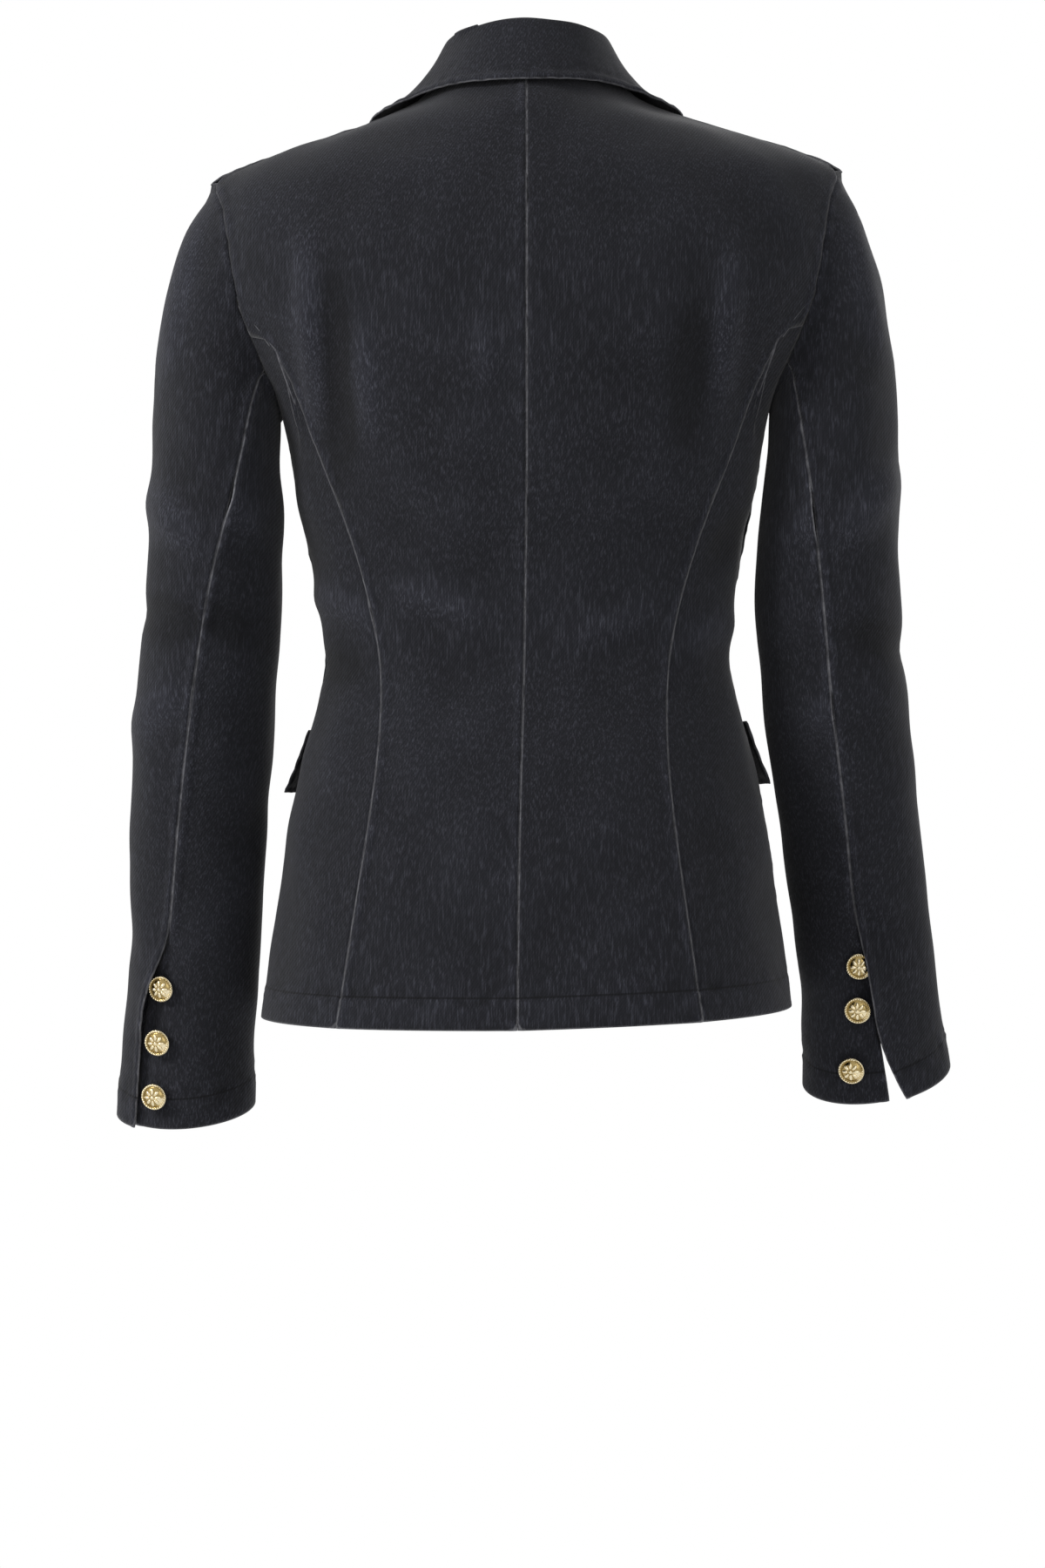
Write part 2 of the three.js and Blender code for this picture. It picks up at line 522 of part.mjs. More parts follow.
// Rows of a sleeve: the cap bends from the armhole to the first ring, and the rings follow.
function sleevePoint(side, rings, holes, row, angle, raise) {
  const first = rings[0].z;
  if (row >= CAP_ROWS) return ringPoint(rings, rings[row - CAP_ROWS].z, angle, side, raise);
  const wrapped = angle > 180 ? angle - 360 : angle;
  const hole = wrapped >= 0 ? holes.behind : holes.front;
  const start = hole.getPointAt(Math.abs(wrapped) / 180).add(new THREE.Vector3(side * SLEEVE_OFFSET, 0, 0));
  const end = ringPoint(rings, first, angle, side);
  const middle = end.clone().setZ(lerp(end.z, start.z, CAP_FULLNESS));
  return new THREE.QuadraticBezierCurve3(start, middle, end).getPoint(row / CAP_ROWS);
}

const edgeAngle = (rings, row, column) =>
  row >= CAP_ROWS
    ? rings[row - CAP_ROWS][column]
    : lerp(SLEEVE_SEAM_ARMHOLE, rings[0][column], row / CAP_ROWS);

const fadeFrom = (edge, angle) => Math.max(0, 1 - Math.abs(edge - angle) / VENT_FADE) ** 2;

// Sleeves: an upper and an under half, which part below the vent top.
for (const [name, side] of Object.entries(sides)) {
  const rings = SLEEVE_RINGS[name];
  const holes = armhole(side);
  const rows = CAP_ROWS + rings.length;
  const half = (column, farAngle, columns, raise) =>
    Array.from({ length: rows }, (_, row) => {
      const edge = edgeAngle(rings, row, column);
      const ring = rings[Math.max(row - CAP_ROWS, 0)];
      return Array.from({ length: columns + 1 }, (_, j) => {
        const angle = lerp(edge, farAngle, j / columns);
        return sleevePoint(side, rings, holes, row, angle, raise(ring) * fadeFrom(edge, angle));
      });
    });
  const axis = new THREE.Vector3(side * 205, -10, -400);
  wall(`upper_sleeve_${name}`, half("upper", SLEEVE_FRONT_SEAM, UPPER_COLUMNS, (ring) => ring.lift), axis);
  wall(`under_sleeve_${name}`, half("under", 360 + SLEEVE_FRONT_SEAM - FRONT_SEAM_EASE, UNDER_COLUMNS, (ring) => -ring.sink), axis);
}

// Flaps: sewn along their top edge over the hip pockets, standing off at the free edge.
for (const [name, side] of Object.entries(sides)) {
  const columns = 8;
  const rows = 3;
  const flat = Array.from({ length: rows + 1 }, (_, i) =>
    Array.from({ length: columns + 1 }, (_, j) =>
      place(lerp(FLAP.backAngle, FLAP.frontAngle, j / columns), lerp(FLAP.top, FLAP.bottom, i / rows)),
    ),
  );
  const lift = (i) => WALL + FLAP.stand + FLAP.flare * (i / rows) ** 2;
  wall(`flap_${name}`, moved(onBody(flat, side), torsoAxis, lift), torsoAxis);
}

// A domed button on its shank, by half profile: distance from the axis and height, for a rim of 1.
function button(name, radius, point, direction) {
  const profile = [
    [0, 0],
    [0.26, 0],
    [0.26, 0.24],
    [0.92, 0.26],
    [1, 0.36],
    [0.93, 0.46],
    [0.62, 0.6],
    [0, 0.7],
  ];
  const shape = profile.map(([across, up]) => new THREE.Vector2(across * radius, up * radius));
  const geometry = new THREE.LatheGeometry(shape, 10);
  const upright = new THREE.Quaternion().setFromUnitVectors(new THREE.Vector3(0, 1, 0), direction);
  geometry.applyQuaternion(upright);
  geometry.translate(...point.clone().addScaledVector(direction, BUTTON_GAP).toArray());
  addMesh(name, geometry, GILT);
}

// Sleeve buttons: in a row on the under sleeve, beside its vent edge.
for (const [name, side] of Object.entries(sides)) {
  const rings = SLEEVE_RINGS[name];
  for (const { name: number, z, angle } of SLEEVE_BUTTONS[name]) {
    const sink = -read(rings, "sink", z) * fadeFrom(read(rings, "under", z), angle);
    const point = ringPoint(rings, z, angle, side, sink);
    const along = ringPoint(rings, z - 4, angle, side, sink).sub(point);
    const around = ringPoint(rings, z, angle + 4, side, sink).sub(point);
    const direction = along.cross(around).multiplyScalar(side).normalize();
    button(`sleeve_button_${name}_${number}`, BUTTON_RADIUS, point, direction);
  }
}

// Front buttons: on the centre line, over the right front.
FRONT_BUTTONS.forEach((z, k) => {
  const onFront = stand(body(-90, z), -1);
  const direction = new THREE.Vector3(0, -1, 0);
  const point = onFront.addScaledVector(direction, OVERLAP_LIFT);
  button(`front_button_${k + 1}`, FRONT_BUTTON_RADIUS, point, direction);
});

export default group;
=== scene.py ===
import math

import bmesh
import bpy
from mathutils import Matrix, Vector, kdtree, noise


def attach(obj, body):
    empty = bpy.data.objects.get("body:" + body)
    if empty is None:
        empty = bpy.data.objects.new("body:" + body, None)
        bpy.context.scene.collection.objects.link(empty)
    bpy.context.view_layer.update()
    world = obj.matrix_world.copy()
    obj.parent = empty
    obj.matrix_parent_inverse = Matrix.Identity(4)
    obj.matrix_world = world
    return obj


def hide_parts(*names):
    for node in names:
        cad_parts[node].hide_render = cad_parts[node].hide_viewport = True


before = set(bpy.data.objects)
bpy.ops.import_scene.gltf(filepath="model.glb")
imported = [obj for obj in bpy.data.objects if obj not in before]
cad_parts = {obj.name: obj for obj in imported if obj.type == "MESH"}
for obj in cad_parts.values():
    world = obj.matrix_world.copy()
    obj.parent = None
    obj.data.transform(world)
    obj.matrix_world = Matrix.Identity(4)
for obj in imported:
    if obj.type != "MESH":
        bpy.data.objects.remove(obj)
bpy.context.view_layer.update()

sides = {"left": 1, "right": -1}

# ---- Camera: level, straight behind the wearer, at the height of the middle of the picture.
camera = bpy.data.objects.new("camera", bpy.data.cameras.new("camera"))
bpy.context.scene.collection.objects.link(camera)
camera.location = (0, 2.8, -0.4417)
camera.rotation_euler = (math.radians(90), 0, math.radians(180))
camera.data.lens = 100.8
bpy.context.scene.camera = camera
bpy.context.scene.view_settings.view_transform = "Standard"


# ---- Floor and studio: a matt white floor far below the worn blazer, and even white light.
def add_node(material, kind, inputs=None, **settings):
    """Adds a node with its settings; an input is a value, or the output that it is linked to."""
    node = material.node_tree.nodes.new(kind)
    for name, value in settings.items():
        setattr(node, name, value)
    for name, value in (inputs or {}).items():
        socket = node.inputs[name]
        if isinstance(value, bpy.types.NodeSocket):
            material.node_tree.links.new(value, socket)
        else:
            socket.default_value = value
    return node


def linear(colour):
    """An sRGB hex colour as linear RGBA."""
    values = [int(colour[i:i + 2], 16) / 255 for i in (1, 3, 5)]
    return [v / 12.92 if v <= 0.04045 else ((v + 0.055) / 1.055) ** 2.4 for v in values] + [1.0]


def new_material(name):
    material = bpy.data.materials.new(name)
    material.use_nodes = True
    material.node_tree.nodes.clear()
    return material


def seen_white(material, surface):
    """Shows plain white to the camera and in reflections, and the surface to everything else."""
    path = add_node(material, "ShaderNodeLightPath")
    rays = {0: path.outputs["Is Camera Ray"], 1: path.outputs["Is Glossy Ray"]}
    shiny = add_node(material, "ShaderNodeMath", rays, operation="MAXIMUM")
    white = add_node(material, "ShaderNodeEmission", {"Color": linear("#ffffff"), "Strength": 1.0})
    return add_node(material, "ShaderNodeMixShader", {0: shiny.outputs[0], 1: surface, 2: white.outputs[0]})


FLOOR_DROP = 1.42
floor_shape = bmesh.new()
bmesh.ops.create_grid(floor_shape, x_segments=1, y_segments=1, size=6,
                      matrix=Matrix.Translation((0, 0, -FLOOR_DROP)))
floor_mesh = bpy.data.meshes.new("floor")
floor_shape.to_mesh(floor_mesh)
floor = bpy.data.objects.new("floor", floor_mesh)
bpy.context.scene.collection.objects.link(floor)
floor_paint = new_material("matt white studio floor")
floor_face = add_node(floor_paint, "ShaderNodeBsdfPrincipled", {"Base Color": linear("#f4f4f4"),
                                                                "Roughness": 0.9})
floor_seen = seen_white(floor_paint, floor_face.outputs[0])
add_node(floor_paint, "ShaderNodeOutputMaterial", {"Surface": floor_seen.outputs[0]})
floor_mesh.materials.append(floor_paint)

world = bpy.data.worlds.new("studio")
bpy.context.scene.world = world
world.use_nodes = True
world.node_tree.nodes.clear()
room = add_node(world, "ShaderNodeBackground", {"Color": linear("#ffffff"), "Strength": 0.3})
studio = seen_white(world, room.outputs[0])
add_node(world, "ShaderNodeOutputWorld", {"Surface": studio.outputs[0]})

LAMPS = [
    {"name": "key", "place": (2.5, 1.5, 1.1), "size": 0.9, "power": 52},
    {"name": "fill", "place": (-1.2, 2.6, 0.2), "size": 1.6, "power": 9},
    {"name": "front", "place": (-0.8, -2.6, 0.8), "size": 1.8, "power": 28},
]
for row in LAMPS:
    lamp = bpy.data.objects.new(row["name"], bpy.data.lights.new(row["name"], "AREA"))
    lamp.data.size = row["size"]
    lamp.data.energy = row["power"]
    lamp.location = row["place"]
    aim = Vector((0, 0, -0.3)) - lamp.location
    lamp.rotation_euler = aim.to_track_quat("-Z", "Y").to_euler()
    bpy.context.scene.collection.objects.link(lamp)


# ---- Cloth panels: black-charcoal stretch denim, a 3/1 twill with slubby warp yarns, cut in panels
# and sewn with turned-in allowances that make a thick, slightly puckered band beside each seam.
# The edge of each seam is worn to the paler core of the yarn.
RIM_TURN = math.radians(58)  # a wall's face turns by more than this only at its rim
CLOTH_THICKNESS = 0.0011
BAND = 0.0058  # seam allowance under the cloth
BAND_RISE = 0.0008
PUCKER_RISE = 0.0009
PUCKER_PITCH = 0.0065
RUMPLE_RISE = 0.0018
CREASE_DEPTH = 1.7
RUMPLE_PITCH = 0.035
SEAM_REACH = 0.0005  # each edge comes out by this much, so two panels meet in a sewn line
EASE = 0.03  # length of cloth that follows an edge drawn on to its seam
HEM_TOP = -0.5
HEM_DEPTH = 0.02
HEM_RISE = 0.0004


def outer_face(node_name):
    """The outer face of a CAD wall, as a sheet of quads."""
    sheet = bmesh.new()
    sheet.from_mesh(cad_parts[node_name].data)
    bmesh.ops.remove_doubles(sheet, verts=sheet.verts, dist=1e-6)
    islands = []
    left = set(sheet.faces)
    while left:
        island, fresh = set(), [left.pop()]
        while fresh:
            face = fresh.pop()
            island.add(face)
            near = {g for e in face.edges if len(e.link_faces) == 2 and e.calc_face_angle() < RIM_TURN
                    for g in e.link_faces if g in left}
            left -= near
            fresh.extend(near)
        islands.append(island)
    keep = max(islands, key=lambda island: sum(f.calc_area() for f in island))
    bmesh.ops.delete(sheet, geom=[f for f in sheet.faces if f not in keep], context="FACES")
    bmesh.ops.join_triangles(sheet, faces=sheet.faces, angle_face_threshold=math.pi,
                             angle_shape_threshold=math.pi)
    return sheet


def finished_sheet(name, sheet, levels):
    """A new object with the sheet's surface smoothed by subdivision."""
    mesh = bpy.data.meshes.new(name)
    sheet.to_mesh(mesh)
    piece = bpy.data.objects.new(name, mesh)
    bpy.context.scene.collection.objects.link(piece)
    smooth = piece.modifiers.new("smooth", "SUBSURF")
    smooth.levels = smooth.render_levels = levels
    smooth.boundary_smooth = "PRESERVE_CORNERS"
    graph = bpy.context.evaluated_depsgraph_get()
    fine = bpy.data.meshes.new_from_object(piece.evaluated_get(graph))
    piece.modifiers.clear()
    piece.data = fine
    fine.name = name
    fine.polygons.foreach_set("use_smooth", [True] * len(fine.polygons))
    return piece


def rim_of(mesh):
    """Each point of the sheet's edge, with the way out of the cloth there."""
    sheet = bmesh.new()
    sheet.from_mesh(mesh)
    rim = {}
    for vertex in sheet.verts:
        if vertex.is_boundary:
            out = Vector()
            for e in vertex.link_edges:
                if e.is_boundary:
                    inside = e.link_faces[0].calc_center_median() - e.verts[0].co
                    along = (e.verts[1].co - e.verts[0].co).normalized()
                    out -= (inside - along * inside.dot(along)).normalized()
            rim[vertex.index] = out.normalized()
    return rim


def tree_of(points):
    tree = kdtree.KDTree(len(points))
    for k, point in enumerate(points):
        tree.insert(point, k)
    tree.balance()
    return tree


def set_in(mesh, others, reach):
    """Draws the sheet's edge on to the edges of other sheets within reach, easing the cloth behind it."""
    rim = rim_of(mesh)
    near = tree_of([other.vertices[k].co.copy() for other in others for k in rim_of(other)])
    shifts = []
    for k, out in rim.items():
        place, _, distance = near.find(mesh.vertices[k].co)
        shift = place - mesh.vertices[k].co
        faces_it = distance < TOUCHING or shift.dot(out) > 0.5 * distance
        at_armhole = mesh.vertices[k].co.z > ARMHOLE_FOOT
        shifts.append(shift if distance < reach and faces_it and at_armhole else Vector())
    own = tree_of([mesh.vertices[k].co.copy() for k in rim])
    for vertex in mesh.vertices:
        found = own.find_n(vertex.co, 6)
        distance = found[0][2]
        if distance < EASE:
            weights = [1 / (f[2] + 0.0004) for f in found]
            shift = sum((shifts[f[1]] * w for f, w in zip(found, weights)), Vector()) / sum(weights)
            vertex.co += shift * (1 - distance / EASE) ** 2


def nearest(tree, place):
    """The distance to the nearest point of a tree, or far away where the tree is empty."""
    distance = tree.find(place)[2]
    return 1.0 if distance is None else distance


def sew(piece, band, creases=()):
    """Raises the seam band, puckers and creases, and notes how far each point is from an edge."""
    mesh = piece.data
    rim = rim_of(mesh)
    for k, out in rim.items():
        mesh.vertices[k].co += out * SEAM_REACH
    places = {k: mesh.vertices[k].co.copy() for k in rim}
    hems = {k: place for k, place in places.items() if rim[k].z < -0.8 and place.z < HEM_TOP}
    every = tree_of(list(places.values()))
    hem = tree_of(list(hems.values()))
    banded = tree_of([place for k, place in places.items() if k not in hems and band(place)])
    edges, hem_ways, heights = [], [], []
    normals = [v.normal.copy() for v in mesh.vertices]
    for vertex, normal in zip(mesh.vertices, normals):
        place = vertex.co.copy()
        to_edge, to_hem, to_band = nearest(every, place), nearest(hem, place), nearest(banded, place)
        step = max(0.0, min(1.0, (BAND - to_band) / 0.0014)) * min(1.0, to_band / 0.0012)
        near_stitch = min(to_band, abs(to_hem - HEM_DEPTH))
        pucker = noise.noise(place / PUCKER_PITCH) * math.exp(-(near_stitch / 0.008) ** 2)
        rumple = noise.noise(place / RUMPLE_PITCH + Vector((3, 8, 1))) * min(1.0, to_edge / 0.02)
        hem_step = max(0.0, min(1.0, (HEM_DEPTH - to_hem) / 0.001))
        groove = math.exp(-((to_hem - HEM_DEPTH) / 0.0013) ** 2)
        lift = BAND_RISE * step + PUCKER_RISE * pucker + HEM_RISE * (hem_step - groove) + RUMPLE_RISE * rumple
        lift += sum(crease_rise(crease, place) for crease in creases)
        vertex.co += normal * lift
        edges.append(to_edge)
        hem_ways.append(to_hem)
        # The relief height in millimetres; the cloth colour turns it into wash wear and painted highlight and
        # shade.
        heights.append(1000 * (lift + 0.001 * pucker - 0.6 * RUMPLE_RISE * rumple))
    for name, values in (("edge", edges), ("hem", hem_ways), ("height", heights)):
        mesh.attributes.new(name, "FLOAT", "POINT").data.foreach_set("value", values)


def crease_rise(crease, point):
    """The rise of one soft fold, which runs straight in X and Z and fades at both ends."""
    start, end = Vector(crease["start"]), Vector(crease["end"])
    run = end - start
    flat = Vector((point.x, point.z)) - start
    share = max(0.0, min(1.0, flat.dot(run) / run.length_squared))
    away = (flat - run * share).length
    fade = math.sin(math.pi * min(max(share, 0.02), 0.98)) ** 0.5
    return CREASE_DEPTH * crease["rise"] * fade * math.exp(-(away / crease["width"]) ** 2)


denim = new_material("washed black denim twill")
# Matt cotton twill: pale slub flecks run down the warp, worn lighter along each seam's edge.
position = add_node(denim, "ShaderNodeTexCoord").outputs["Object"]
edge = add_node(denim, "ShaderNodeAttribute", attribute_name="edge").outputs["Fac"]
hem = add_node(denim, "ShaderNodeAttribute", attribute_name="hem")
warp_map = add_node(denim, "ShaderNodeMapping", {"Vector": position, "Scale": (1250, 1250, 95)})
slubs = add_node(denim, "ShaderNodeTexNoise", {"Vector": warp_map.outputs[0], "Scale": 1.0, "Detail": 3.0,
                                               "Roughness": 0.65})
fleck = add_node(denim, "ShaderNodeMapRange", {"Value": slubs.outputs["Fac"], "From Min": 0.5,
                                               "From Max": 0.78, "To Min": 0.0, "To Max": 1.0})
wash = add_node(denim, "ShaderNodeTexNoise", {"Vector": position, "Scale": 14.0, "Detail": 3.0})
base = add_node(denim, "ShaderNodeMix", {"Factor": wash.outputs["Fac"], "A": linear("#141419"),
                                         "B": linear("#212228")}, data_type="RGBA")
speckled = add_node(denim, "ShaderNodeMix", {"Factor": fleck.outputs[0], "A": base.outputs["Result"],
                                             "B": linear("#45464f")}, data_type="RGBA")
rub = add_node(denim, "ShaderNodeTexNoise", {"Vector": position, "Scale": 260.0, "Detail": 2.0})
near_edge = add_node(denim, "ShaderNodeMapRange", {"Value": edge, "From Min": 0.0003, "From Max": 0.0011,
                                                   "To Min": 0.8, "To Max": 0.0})
worn = add_node(denim, "ShaderNodeMath", {0: near_edge.outputs[0], 1: rub.outputs["Fac"]},
                operation="MULTIPLY")
colour = add_node(denim, "ShaderNodeMix", {"Factor": worn.outputs[0], "A": speckled.outputs["Result"],
                                           "B": linear("#8d8d92")}, data_type="RGBA")
twill_map = add_node(denim, "ShaderNodeMapping", {"Vector": position, "Rotation": (0, math.radians(35), 0),
                                                  "Scale": (1, 1, 1)})
# Raised cloth is painted paler and hollows darker by their relief height. This is partly wash wear on the
# raised cloth, and partly painted highlight and painted shade standing in for light on the puckers and
# creases.
height = add_node(denim, "ShaderNodeAttribute", attribute_name="height")
wear_and_painted_shade = add_node(denim, "ShaderNodeMapRange", {"Value": height.outputs["Fac"], "From Min": -1.2,
                                                "From Max": 1.8, "To Min": 0.55, "To Max": 1.75})
toned = add_node(denim, "ShaderNodeVectorMath", {0: colour.outputs["Result"], "Scale": wear_and_painted_shade.outputs[0]},
                 operation="SCALE")
stitch_way = add_node(denim, "ShaderNodeMath", {0: hem.outputs["Fac"], 1: 0.02}, operation="SUBTRACT")
stitch_off = add_node(denim, "ShaderNodeMath", {0: stitch_way.outputs[0]}, operation="ABSOLUTE")
stitch = add_node(denim, "ShaderNodeMapRange", {"Value": stitch_off.outputs[0], "From Min": 0.0004,
                                                "From Max": 0.0009, "To Min": 0.75, "To Max": 0.0})
stitched = add_node(denim, "ShaderNodeMix", {"Factor": stitch.outputs[0], "A": toned.outputs[0],
                                             "B": linear("#0a0a0d")}, data_type="RGBA")
# The real twill pitch is near 0.8 mm.
twill = add_node(denim, "ShaderNodeTexWave", {"Vector": twill_map.outputs[0], "Scale": 200.0,
                                              "Distortion": 1.5}, bands_direction="X")
relief = add_node(denim, "ShaderNodeMath", {0: twill.outputs["Fac"], 1: slubs.outputs["Fac"]},
                  operation="ADD")
weave = add_node(denim, "ShaderNodeBump", {"Height": relief.outputs[0], "Strength": 0.35, "Distance": 0.0004})
cloth = add_node(denim, "ShaderNodeBsdfPrincipled", {
    "Base Color": stitched.outputs["Result"], "Roughness": 0.92, "Normal": weave.outputs[0],
    "Specular IOR Level": 0.25, "Sheen Weight": 0.12, "Sheen Roughness": 0.5})
add_node(denim, "ShaderNodeOutputMaterial", {"Surface": cloth.outputs[0]})

# Which of a piece's edges have a seam allowance turned under them.
def everywhere(place):
    return True


def nowhere(place):
    return False


def off_centre_right(place):
    """Every edge of the right back but the centre seam, whose allowance turns to the left."""
    return place.x < -0.02


# Cut sizes in metres: width, length and flat area, with the node each panel stands for.
PANELS = [
    {"node": "back_left", "flat": (0.215, 0.62), "area": 0.0885, "held": "hung", "band": everywhere},
    {"node": "back_right", "flat": (0.215, 0.62), "area": 0.0885, "held": "hung", "band": off_centre_right},
    {"node": "side_back_left", "flat": (0.12, 0.47), "area": 0.047, "held": "hung", "band": nowhere},
    {"node": "side_back_right", "flat": (0.12, 0.47), "area": 0.047, "held": "hung", "band": nowhere},
    {"node": "front_left", "flat": (0.265, 0.61), "area": 0.115, "held": "hung", "band": everywhere},
    {"node": "front_right", "flat": (0.265, 0.61), "area": 0.115, "held": "hung", "band": everywhere},
    {"node": "lapel_left", "flat": (0.085, 0.285), "area": 0.0136, "held": "folded", "band": everywhere},
    {"node": "lapel_right", "flat": (0.085, 0.285), "area": 0.0136, "held": "folded", "band": everywhere},
    {"node": "collar", "flat": (0.4, 0.085), "area": 0.03, "held": "folded", "band": everywhere},
    {"node": "upper_sleeve_left", "flat": (0.215, 0.62), "area": 0.098, "held": "hung", "band": everywhere},
    {"node": "upper_sleeve_right", "flat": (0.215, 0.62), "area": 0.102, "held": "hung", "band": everywhere},
    {"node": "under_sleeve_left", "flat": (0.13, 0.48), "area": 0.0518, "held": "hung", "band": everywhere},
    {"node": "under_sleeve_right", "flat": (0.13, 0.48), "area": 0.0452, "held": "hung", "band": everywhere},
    {"node": "flap_left", "flat": (0.108, 0.043), "area": 0.0045, "held": "hung", "band": everywhere},
    {"node": "flap_right", "flat": (0.108, 0.043), "area": 0.0045, "held": "hung", "band": everywhere},
]
# The main creases: soft ridges, and troughs where the rise is below nought, in metres of X and Z.
CREASES = {
    "back_left": [
        {"start": (0.136, -0.105), "end": (0.128, -0.22), "rise": 0.0024, "width": 0.008},
        {"start": (0.118, -0.12), "end": (0.112, -0.25), "rise": -0.0018, "width": 0.01},
        {"start": (0.1, -0.15), "end": (0.094, -0.23), "rise": 0.0012, "width": 0.007},
        {"start": (0.025, -0.15), "end": (0.022, -0.2), "rise": 0.001, "width": 0.006},
        {"start": (0.085, -0.32), "end": (0.02, -0.338), "rise": 0.0012, "width": 0.01},
    ],
    "back_right": [
        {"start": (-0.13, -0.11), "end": (-0.124, -0.205), "rise": 0.002, "width": 0.008},
        {"start": (-0.106, -0.14), "end": (-0.1, -0.24), "rise": -0.0014, "width": 0.011},
        {"start": (-0.09, -0.33), "end": (-0.03, -0.352), "rise": 0.0011, "width": 0.01},
    ],
    "side_back_left": [
        {"start": (0.165, -0.31), "end": (0.09, -0.34), "rise": 0.0016, "width": 0.009},
        {"start": (0.16, -0.36), "end": (0.1, -0.372), "rise": -0.0013, "width": 0.01},
    ],
    "side_back_right": [
        {"start": (-0.165, -0.33), "end": (-0.1, -0.352), "rise": 0.0015, "width": 0.01},
        {"start": (-0.15, -0.27), "end": (-0.12, -0.3), "rise": -0.0012, "width": 0.009},
    ],
    "upper_sleeve_left": [
        {"start": (0.206, -0.07), "end": (0.227, -0.185), "rise": 0.0026, "width": 0.008},
        {"start": (0.25, -0.25), "end": (0.205, -0.292), "rise": 0.0022, "width": 0.011},
        {"start": (0.25, -0.33), "end": (0.2, -0.345), "rise": -0.0018, "width": 0.01},
        {"start": (0.26, -0.41), "end": (0.215, -0.385), "rise": 0.0017, "width": 0.012},
    ],
    "upper_sleeve_right": [
        {"start": (-0.208, -0.08), "end": (-0.224, -0.17), "rise": 0.002, "width": 0.009},
        {"start": (-0.245, -0.24), "end": (-0.2, -0.29), "rise": 0.002, "width": 0.011},
        {"start": (-0.25, -0.36), "end": (-0.21, -0.345), "rise": -0.0017, "width": 0.01},
    ],
    "under_sleeve_left": [
        {"start": (0.2, -0.24), "end": (0.165, -0.285), "rise": 0.0017, "width": 0.009},
        {"start": (0.2, -0.335), "end": (0.17, -0.35), "rise": -0.0014, "width": 0.01},
    ],
    "under_sleeve_right": [
        {"start": (-0.2, -0.25), "end": (-0.17, -0.29), "rise": 0.0016, "width": 0.01},
        {"start": (-0.2, -0.39), "end": (-0.18, -0.405), "rise": 0.0013, "width": 0.01},
    ],
    "front_left": [
        {"start": (0.03, -0.345), "end": (0.13, -0.318), "rise": 0.0018, "width": 0.01},
        {"start": (0.13, -0.16), "end": (0.115, -0.25), "rise": 0.0016, "width": 0.01},
    ],
    "front_right": [
        {"start": (-0.02, -0.345), "end": (-0.12, -0.312), "rise": 0.0019, "width": 0.011},
        {"start": (-0.03, -0.36), "end": (-0.11, -0.372), "rise": -0.0013, "width": 0.01},
    ],
}
# Widest gap that a sleeve's head is drawn over to its armhole.
ARMHOLE_REACH = 0.014
ARMHOLE_FOOT = -0.2
TOUCHING = 0.002
BODY_PANELS = ["back_left", "back_right", "side_back_left", "side_back_right", "front_left", "front_right"]
panels = {row["node"]: finished_sheet("denim_" + row["node"], outer_face(row["node"]), 3) for row in PANELS}
body = [panels[name].data for name in BODY_PANELS]
for side in sides:
    for half in ("upper", "under"):
        set_in(panels[f"{half}_sleeve_{side}"].data, body, ARMHOLE_REACH)
sleeves = [panels[f"{half}_sleeve_{side}"].data for side in sides for half in ("upper", "under")]
for mesh in body:
    set_in(mesh, sleeves, ARMHOLE_REACH)
for row in PANELS:
    panel = panels[row["node"]]
    sew(panel, row["band"], CREASES.get(row["node"], []))
    wall = panel.modifiers.new("wall", "SOLIDIFY")
    wall.thickness = CLOTH_THICKNESS
    wall.offset = -1
    panel.data.materials.append(denim)
    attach(panel, "root")
    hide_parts(row["node"])


# ---- Buttons: die-struck brass shells with a roped rim and a plain rosette, plated pale gold.
plating = new_material("polished pale gold plate")
# A bright metal skin with soft wear in its tone. The sunken ground is painted a darker gold as painted shade
# in the hollows, so the raised rim, beads and petals look lit.
metal_place = add_node(plating, "ShaderNodeTexCoord").outputs["Object"]
tarnish = add_node(plating, "ShaderNodeTexNoise", {"Vector": metal_place, "Scale": 900.0, "Detail": 2.0})
gold = add_node(plating, "ShaderNodeMix", {"Factor": tarnish.outputs["Fac"], "A": linear("#d6c497"),
                                           "B": linear("#f3e9cd")}, data_type="RGBA")
raised = add_node(plating, "ShaderNodeAttribute", attribute_name="raised")
painted_shade_gold = add_node(plating, "ShaderNodeMix", {"Factor": raised.outputs["Fac"], "A": linear("#a08c5c"),
                                              "B": gold.outputs["Result"]}, data_type="RGBA")
shine = add_node(plating, "ShaderNodeBsdfPrincipled", {"Base Color": painted_shade_gold.outputs["Result"],
                                                       "Metallic": 1.0, "Roughness": 0.2})
add_node(plating, "ShaderNodeOutputMaterial", {"Surface": shine.outputs[0]})
SHELL = [(0, 0), (0.26, 0), (0.26, 0.24), (0.9, 0.26), (1, 0.34), (0.97, 0.42), (0.88, 0.44), (0.82, 0.36),
         (0.76, 0.36), (0.7, 0.46), (0.5, 0.55), (0.25, 0.6), (0, 0.62)]
CAD_HEIGHT = 0.7  # a CAD button's height as a share of its radius
POLE_EDGES = 9  # only the two ends of a CAD button's axis have as many edges as this
ROPE_BEADS = 30
PETALS = 8


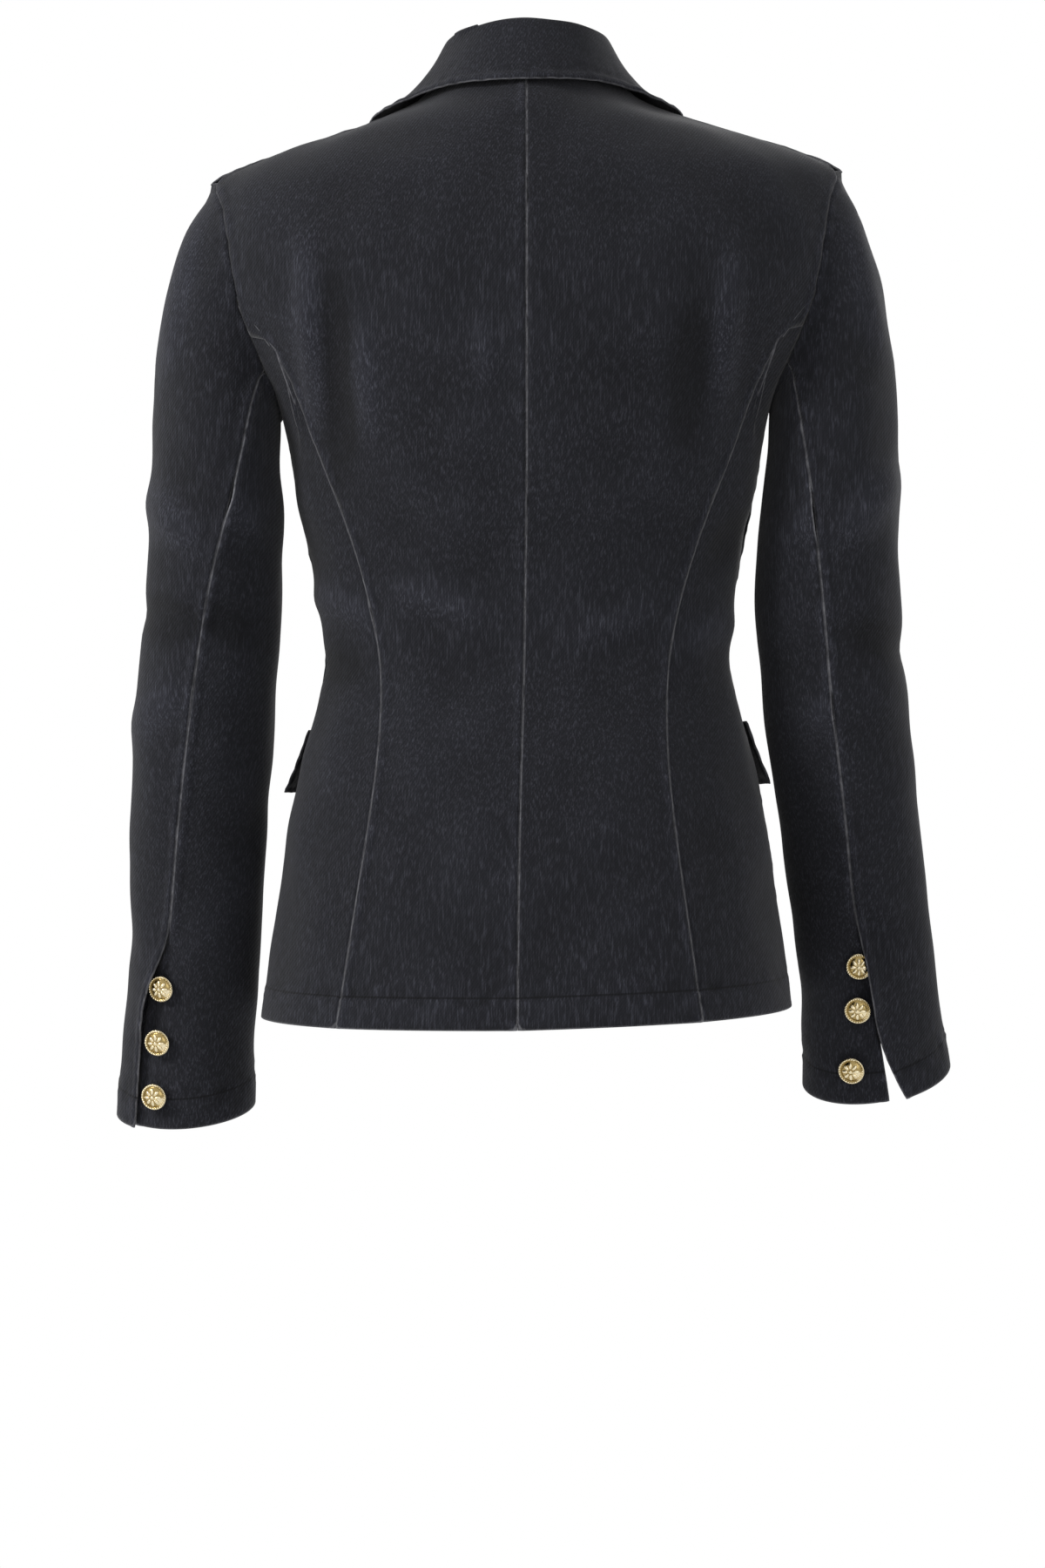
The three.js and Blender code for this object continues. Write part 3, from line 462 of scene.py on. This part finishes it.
def rosette_button(name, radius):
    """A button on its own axis: shell, roped rim and petals round a centre boss."""
    shape = bmesh.new()
    line = [shape.verts.new((across * radius, 0, up * radius)) for across, up in SHELL]
    edges = [shape.edges.new(pair) for pair in zip(line, line[1:])]
    bmesh.ops.spin(shape, geom=line + edges, cent=(0, 0, 0), axis=(0, 0, 1), angle=math.tau, steps=40,
                   use_merge=True)
    bmesh.ops.remove_doubles(shape, verts=shape.verts, dist=radius * 1e-4)
    bmesh.ops.recalc_face_normals(shape, faces=shape.faces)
    ground = len(shape.verts)
    for k in range(ROPE_BEADS):
        turn = Matrix.Rotation(math.tau * k / ROPE_BEADS, 4, "Z")
        lean = Matrix.Rotation(math.radians(35), 4, "X")
        on_rim = Matrix.Translation((0.89 * radius, 0, 0.43 * radius))
        bead = turn @ on_rim @ lean @ Matrix.Diagonal((1, 1.5, 0.8, 1))
        bmesh.ops.create_icosphere(shape, subdivisions=1, radius=radius * 0.09, matrix=bead)
    for k in range(PETALS):
        turn = Matrix.Rotation(math.tau * k / PETALS, 4, "Z")
        petal = turn @ Matrix.Translation((0.44 * radius, 0, 0.58 * radius)) @ Matrix.Rotation(
            math.radians(14), 4, "Y") @ Matrix.Diagonal((1.5, 0.75, 0.6, 1))
        bmesh.ops.create_icosphere(shape, subdivisions=2, radius=radius * 0.17, matrix=petal)
    boss = Matrix.Translation((0, 0, 0.68 * radius)) @ Matrix.Diagonal((1, 1, 0.6, 1))
    bmesh.ops.create_icosphere(shape, subdivisions=2, radius=radius * 0.14, matrix=boss)
    mesh = bpy.data.meshes.new(name)
    shape.to_mesh(mesh)
    mesh.polygons.foreach_set("use_smooth", [True] * len(mesh.polygons))
    # Raised parts keep the bright gold, and the sunken ground between them takes the painted shade.
    raised = [float(v.index >= ground or v.co.xy.length > 0.93 * radius) for v in mesh.vertices]
    mesh.attributes.new("raised", "FLOAT", "POINT").data.foreach_set("value", raised)
    return mesh


def seat_of(node_name):
    """Where a CAD button stands: its foot, its axis and its radius, from its own points."""
    sheet = bmesh.new()
    sheet.from_mesh(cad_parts[node_name].data)
    bmesh.ops.remove_doubles(sheet, verts=sheet.verts, dist=1e-6)
    poles = [v for v in sheet.verts if len(v.link_edges) >= POLE_EDGES]
    foot, top = sorted(poles, key=lambda v: sum(f.calc_area() for f in v.link_faces))[:2]
    axis = (top.co - foot.co).normalized()
    return foot.co.copy(), axis, (top.co - foot.co).length / CAD_HEIGHT


BUTTONS = [f"sleeve_button_{side}_{k}" for side in sides for k in (1, 2, 3)]
BUTTONS += ["front_button_1", "front_button_2"]
for node_name in BUTTONS:
    foot, axis, radius = seat_of(node_name)
    mesh = rosette_button("gilt_" + node_name, radius)
    mesh.transform(Matrix.Translation(foot) @ axis.to_track_quat("Z", "Y").to_matrix().to_4x4())
    button = bpy.data.objects.new("gilt_" + node_name, mesh)
    bpy.context.scene.collection.objects.link(button)
    mesh.materials.append(plating)
    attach(button, "root")
    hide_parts(node_name)
